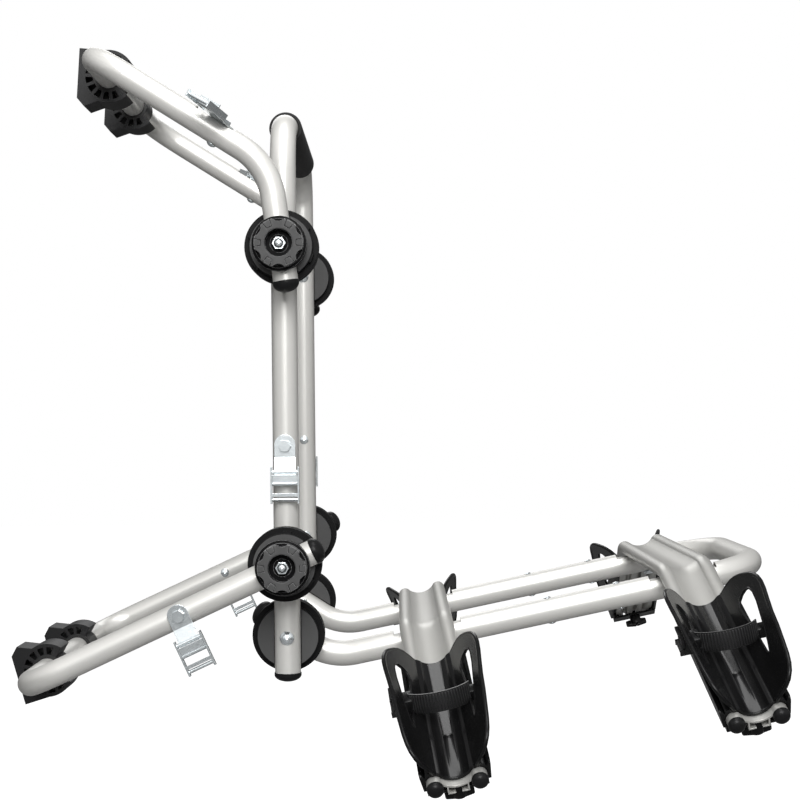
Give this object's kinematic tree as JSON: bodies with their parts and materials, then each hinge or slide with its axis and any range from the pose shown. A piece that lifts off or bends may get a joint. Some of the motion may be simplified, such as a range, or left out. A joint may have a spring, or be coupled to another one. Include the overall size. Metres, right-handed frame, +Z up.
{
  "type": "trunk mounted bike rack",
  "caption": "Folding rear carrier: an upright tube frame braced by hinged arms with foot pads, and a tilting platform with sloped wheel channels and strap holders",
  "frame": {"origin": "middle of the lower hinge axis, half way between the two uprights", "axes": "+X away from the vehicle along the platform, +Y across the vehicle, +Z up; the left parts are on the -Y side"},
  "size_m": [0.9108, 0.9572, 0.8391],
  "materials": {
    "tube": "satin pale grey paint",
    "channel_metal": "satin",
    "foam": "matte foam",
    "cap_plastic": "domed, slightly glossy",
    "disc_plastic": "grained, black rims",
    "knob_plastic": "grained",
    "pad_rubber": "matte",
    "holder_plastic": "glossy",
    "strap_plastic": "ribbed",
    "zinc": "bright zinc",
    "buckle_steel": "bright zinc"
  },
  "bodies": {
    "upright": {"upright_frame": "tube", "top_bar_sleeve": "foam", "upright_end_caps": "cap_plastic", "upright_arm_discs": "disc_plastic", "upright_platform_discs": "disc_plastic", "upright_fasteners": "zinc"},
    "upper_arm": {"upper_arm_frame": "tube", "upper_arm_end_caps": "cap_plastic", "upper_arm_discs": "disc_plastic", "upper_arm_bolts": "zinc"},
    "lower_arm": {"lower_arm_frame": "tube", "lower_arm_end_caps": "cap_plastic", "lower_arm_discs": "disc_plastic", "lower_arm_bolts": "zinc"},
    "platform": {"platform_frame": "tube", "platform_end_caps": "cap_plastic", "platform_discs": "disc_plastic", "platform_fasteners": "zinc", "inner_channel": "channel_metal", "outer_channel": "channel_metal", "channel_end_caps": "cap_plastic", "channel_cross_bolts": "zinc"},
    "upper_knob_left": {"upper_knob_left": "knob_plastic"},
    "upper_knob_right": {"upper_knob_right": "knob_plastic"},
    "lower_knob_left": {"lower_knob_left": "knob_plastic"},
    "lower_knob_right": {"lower_knob_right": "knob_plastic"},
    "upper_pad_left": {"upper_pad_left": "pad_rubber"},
    "upper_pad_right": {"upper_pad_right": "pad_rubber"},
    "lower_pad_left": {"lower_pad_left": "pad_rubber"},
    "lower_pad_right": {"lower_pad_right": "pad_rubber"},
    "upright_buckle_left": {"upright_buckle_left": "buckle_steel"},
    "upright_cam_left": {"upright_cam_left": "buckle_steel"},
    "upright_buckle_right": {"upright_buckle_right": "buckle_steel"},
    "upright_cam_right": {"upright_cam_right": "buckle_steel"},
    "lower_buckle_left": {"lower_buckle_left": "buckle_steel"},
    "lower_cam_left": {"lower_cam_left": "buckle_steel"},
    "lower_buckle_right": {"lower_buckle_right": "buckle_steel"},
    "lower_cam_right": {"lower_cam_right": "buckle_steel"},
    "upper_buckle_left": {"upper_buckle_left": "buckle_steel"},
    "upper_cam_left": {"upper_cam_left": "buckle_steel"},
    "upper_buckle_right": {"upper_buckle_right": "buckle_steel"},
    "upper_cam_right": {"upper_cam_right": "buckle_steel"},
    "inner_holder_left": {"inner_holder_left": "holder_plastic", "inner_strap_left": "strap_plastic"},
    "inner_wing_left": {"inner_wing_left": "holder_plastic"},
    "inner_ratchet_left": {"inner_ratchet_left": "strap_plastic"},
    "inner_holder_right": {"inner_holder_right": "holder_plastic", "inner_strap_right": "strap_plastic"},
    "inner_wing_right": {"inner_wing_right": "holder_plastic"},
    "inner_ratchet_right": {"inner_ratchet_right": "strap_plastic"},
    "outer_holder_left": {"outer_holder_left": "holder_plastic", "outer_strap_left": "strap_plastic"},
    "outer_wing_left": {"outer_wing_left": "holder_plastic"},
    "outer_ratchet_left": {"outer_ratchet_left": "strap_plastic"},
    "outer_holder_right": {"outer_holder_right": "holder_plastic", "outer_strap_right": "strap_plastic"},
    "outer_wing_right": {"outer_wing_right": "holder_plastic"},
    "outer_ratchet_right": {"outer_ratchet_right": "strap_plastic"}
  },
  "joints": [
    {"name": "upper_arm_fold", "type": "hinge", "parent": "upright", "child": "upper_arm", "pos_m": [0, 0, 0.36], "axis": [0, 1, 0], "range_deg": [-70, 80]},
    {"name": "lower_arm_fold", "type": "hinge", "parent": "upright", "child": "lower_arm", "pos_m": [0, 0, 0], "axis": [0, 1, 0], "range_deg": [-65, 40]},
    {"name": "platform_fold", "type": "hinge", "parent": "upright", "child": "platform", "pos_m": [0, 0, -0.087], "axis": [0, 1, 0], "range_deg": [-68, 12]},
    {"name": "upper_knob_left_turn", "type": "hinge", "parent": "upright", "child": "upper_knob_left", "pos_m": [0, -0.2903, 0.36], "axis": [0, 1, 0], "continuous": true},
    {"name": "upper_knob_right_turn", "type": "hinge", "parent": "upright", "child": "upper_knob_right", "pos_m": [0, 0.2903, 0.36], "axis": [0, 1, 0], "continuous": true},
    {"name": "lower_knob_left_turn", "type": "hinge", "parent": "upright", "child": "lower_knob_left", "pos_m": [0, -0.2903, 0], "axis": [0, 1, 0], "continuous": true},
    {"name": "lower_knob_right_turn", "type": "hinge", "parent": "upright", "child": "lower_knob_right", "pos_m": [0, 0.2903, 0], "axis": [0, 1, 0], "continuous": true},
    {"name": "upper_pad_left_turn", "type": "hinge", "parent": "upper_arm", "child": "upper_pad_left", "pos_m": [-0.21428, -0.097, 0.57921], "axis": [0, 1, 0], "range_deg": [-35, 35]},
    {"name": "upper_pad_right_turn", "type": "hinge", "parent": "upper_arm", "child": "upper_pad_right", "pos_m": [-0.21428, 0.097, 0.57921], "axis": [0, 1, 0], "range_deg": [-35, 35]},
    {"name": "lower_pad_left_turn", "type": "hinge", "parent": "lower_arm", "child": "lower_pad_left", "pos_m": [-0.2955, -0.097, -0.13529], "axis": [0, 1, 0], "range_deg": [-35, 35]},
    {"name": "lower_pad_right_turn", "type": "hinge", "parent": "lower_arm", "child": "lower_pad_right", "pos_m": [-0.2955, 0.097, -0.13529], "axis": [0, 1, 0], "range_deg": [-35, 35]},
    {"name": "upright_buckle_left_swivel", "type": "hinge", "parent": "upright", "child": "upright_buckle_left", "pos_m": [0, -0.222, 0.134], "axis": [0, 1, 0], "range_deg": [-100, 100]},
    {"name": "upright_cam_left_press", "type": "hinge", "parent": "upright_buckle_left", "child": "upright_cam_left", "pos_m": [0, -0.22575, 0.092], "axis": [1, 0, 0], "range_deg": [0, 35], "stiffness_Nm_per_rad": 0.03, "springref_deg": -22.92},
    {"name": "upright_buckle_right_swivel", "type": "hinge", "parent": "upright", "child": "upright_buckle_right", "pos_m": [0, 0.222, 0.134], "axis": [0, 1, 0], "range_deg": [-100, 100]},
    {"name": "upright_cam_right_press", "type": "hinge", "parent": "upright_buckle_right", "child": "upright_cam_right", "pos_m": [0, 0.22575, 0.092], "axis": [-1, 0, 0], "range_deg": [0, 35], "stiffness_Nm_per_rad": 0.03, "springref_deg": -22.92},
    {"name": "lower_buckle_left_swivel", "type": "hinge", "parent": "lower_arm", "child": "lower_buckle_left", "pos_m": [-0.11729, -0.2766, -0.0537], "axis": [0, 1, 0], "range_deg": [-100, 100]},
    {"name": "lower_cam_left_press", "type": "hinge", "parent": "lower_buckle_left", "child": "lower_cam_left", "pos_m": [-0.09981, -0.28035, -0.09189], "axis": [0.9092, 0, 0.4163], "range_deg": [0, 35], "stiffness_Nm_per_rad": 0.03, "springref_deg": -22.92},
    {"name": "lower_buckle_right_swivel", "type": "hinge", "parent": "lower_arm", "child": "lower_buckle_right", "pos_m": [-0.11729, 0.2766, -0.0537], "axis": [0, 1, 0], "range_deg": [-100, 100]},
    {"name": "lower_cam_right_press", "type": "hinge", "parent": "lower_buckle_right", "child": "lower_cam_right", "pos_m": [-0.09981, 0.28035, -0.09189], "axis": [-0.9092, 0, -0.4163], "range_deg": [0, 35], "stiffness_Nm_per_rad": 0.03, "springref_deg": -22.92},
    {"name": "upper_buckle_left_swivel", "type": "hinge", "parent": "upper_arm", "child": "upper_buckle_left", "pos_m": [-0.0622, -0.2603, 0.49786], "axis": [-0.5358, 0, -0.8443], "range_deg": [-25, 25]},
    {"name": "upper_cam_left_press", "type": "hinge", "parent": "upper_buckle_left", "child": "upper_cam_left", "pos_m": [-0.07573, -0.29805, 0.51089], "axis": [0.7589, -0.4384, -0.4816], "range_deg": [0, 35], "stiffness_Nm_per_rad": 0.03, "springref_deg": -22.92},
    {"name": "upper_buckle_right_swivel", "type": "hinge", "parent": "upper_arm", "child": "upper_buckle_right", "pos_m": [-0.0622, 0.2603, 0.49786], "axis": [0.5358, 0, 0.8443], "range_deg": [-25, 25]},
    {"name": "upper_cam_right_press", "type": "hinge", "parent": "upper_buckle_right", "child": "upper_cam_right", "pos_m": [-0.07573, 0.29805, 0.51089], "axis": [-0.7589, -0.4384, 0.4816], "range_deg": [0, 35], "stiffness_Nm_per_rad": 0.03, "springref_deg": -22.92},
    {"name": "inner_holder_left_slide", "type": "slide", "parent": "platform", "child": "inner_holder_left", "axis": [0.0827, -0.91, -0.4064], "range_m": [-0.05, 0.006]},
    {"name": "inner_wing_left_turn", "type": "hinge", "parent": "inner_holder_left", "child": "inner_wing_left", "pos_m": [0.18648, -0.4491, -0.20418], "axis": [-0.1814, -0.4147, 0.8917], "continuous": true},
    {"name": "inner_ratchet_left_lift", "type": "hinge", "parent": "inner_holder_left", "child": "inner_ratchet_left", "pos_m": [0.12244, -0.38324, -0.14077], "axis": [0.0827, -0.91, -0.4064], "range_deg": [0, 60], "stiffness_Nm_per_rad": 0.01, "springref_deg": -22.92},
    {"name": "inner_holder_right_slide", "type": "slide", "parent": "platform", "child": "inner_holder_right", "axis": [0.0827, 0.91, -0.4064], "range_m": [-0.05, 0.006]},
    {"name": "inner_wing_right_turn", "type": "hinge", "parent": "inner_holder_right", "child": "inner_wing_right", "pos_m": [0.18648, 0.4491, -0.20418], "axis": [0.1814, -0.4147, -0.8917], "continuous": true},
    {"name": "inner_ratchet_right_lift", "type": "hinge", "parent": "inner_holder_right", "child": "inner_ratchet_right", "pos_m": [0.12244, 0.38324, -0.14077], "axis": [-0.0827, -0.91, 0.4064], "range_deg": [0, 60], "stiffness_Nm_per_rad": 0.01, "springref_deg": -22.92},
    {"name": "outer_holder_left_slide", "type": "slide", "parent": "platform", "child": "outer_holder_left", "axis": [0.0827, -0.91, -0.4064], "range_m": [-0.05, 0.006]},
    {"name": "outer_wing_left_turn", "type": "hinge", "parent": "outer_holder_left", "child": "outer_wing_left", "pos_m": [0.48927, -0.4491, -0.14258], "axis": [-0.1814, -0.4147, 0.8917], "continuous": true},
    {"name": "outer_ratchet_left_lift", "type": "hinge", "parent": "outer_holder_left", "child": "outer_ratchet_left", "pos_m": [0.42524, -0.38324, -0.07916], "axis": [0.0827, -0.91, -0.4064], "range_deg": [0, 60], "stiffness_Nm_per_rad": 0.01, "springref_deg": -22.92},
    {"name": "outer_holder_right_slide", "type": "slide", "parent": "platform", "child": "outer_holder_right", "axis": [0.0827, 0.91, -0.4064], "range_m": [-0.05, 0.006]},
    {"name": "outer_wing_right_turn", "type": "hinge", "parent": "outer_holder_right", "child": "outer_wing_right", "pos_m": [0.48927, 0.4491, -0.14258], "axis": [0.1814, -0.4147, -0.8917], "continuous": true},
    {"name": "outer_ratchet_right_lift", "type": "hinge", "parent": "outer_holder_right", "child": "outer_ratchet_right", "pos_m": [0.42524, 0.38324, -0.07916], "axis": [-0.0827, -0.91, 0.4064], "range_deg": [0, 60], "stiffness_Nm_per_rad": 0.01, "springref_deg": -22.92}
  ]
}
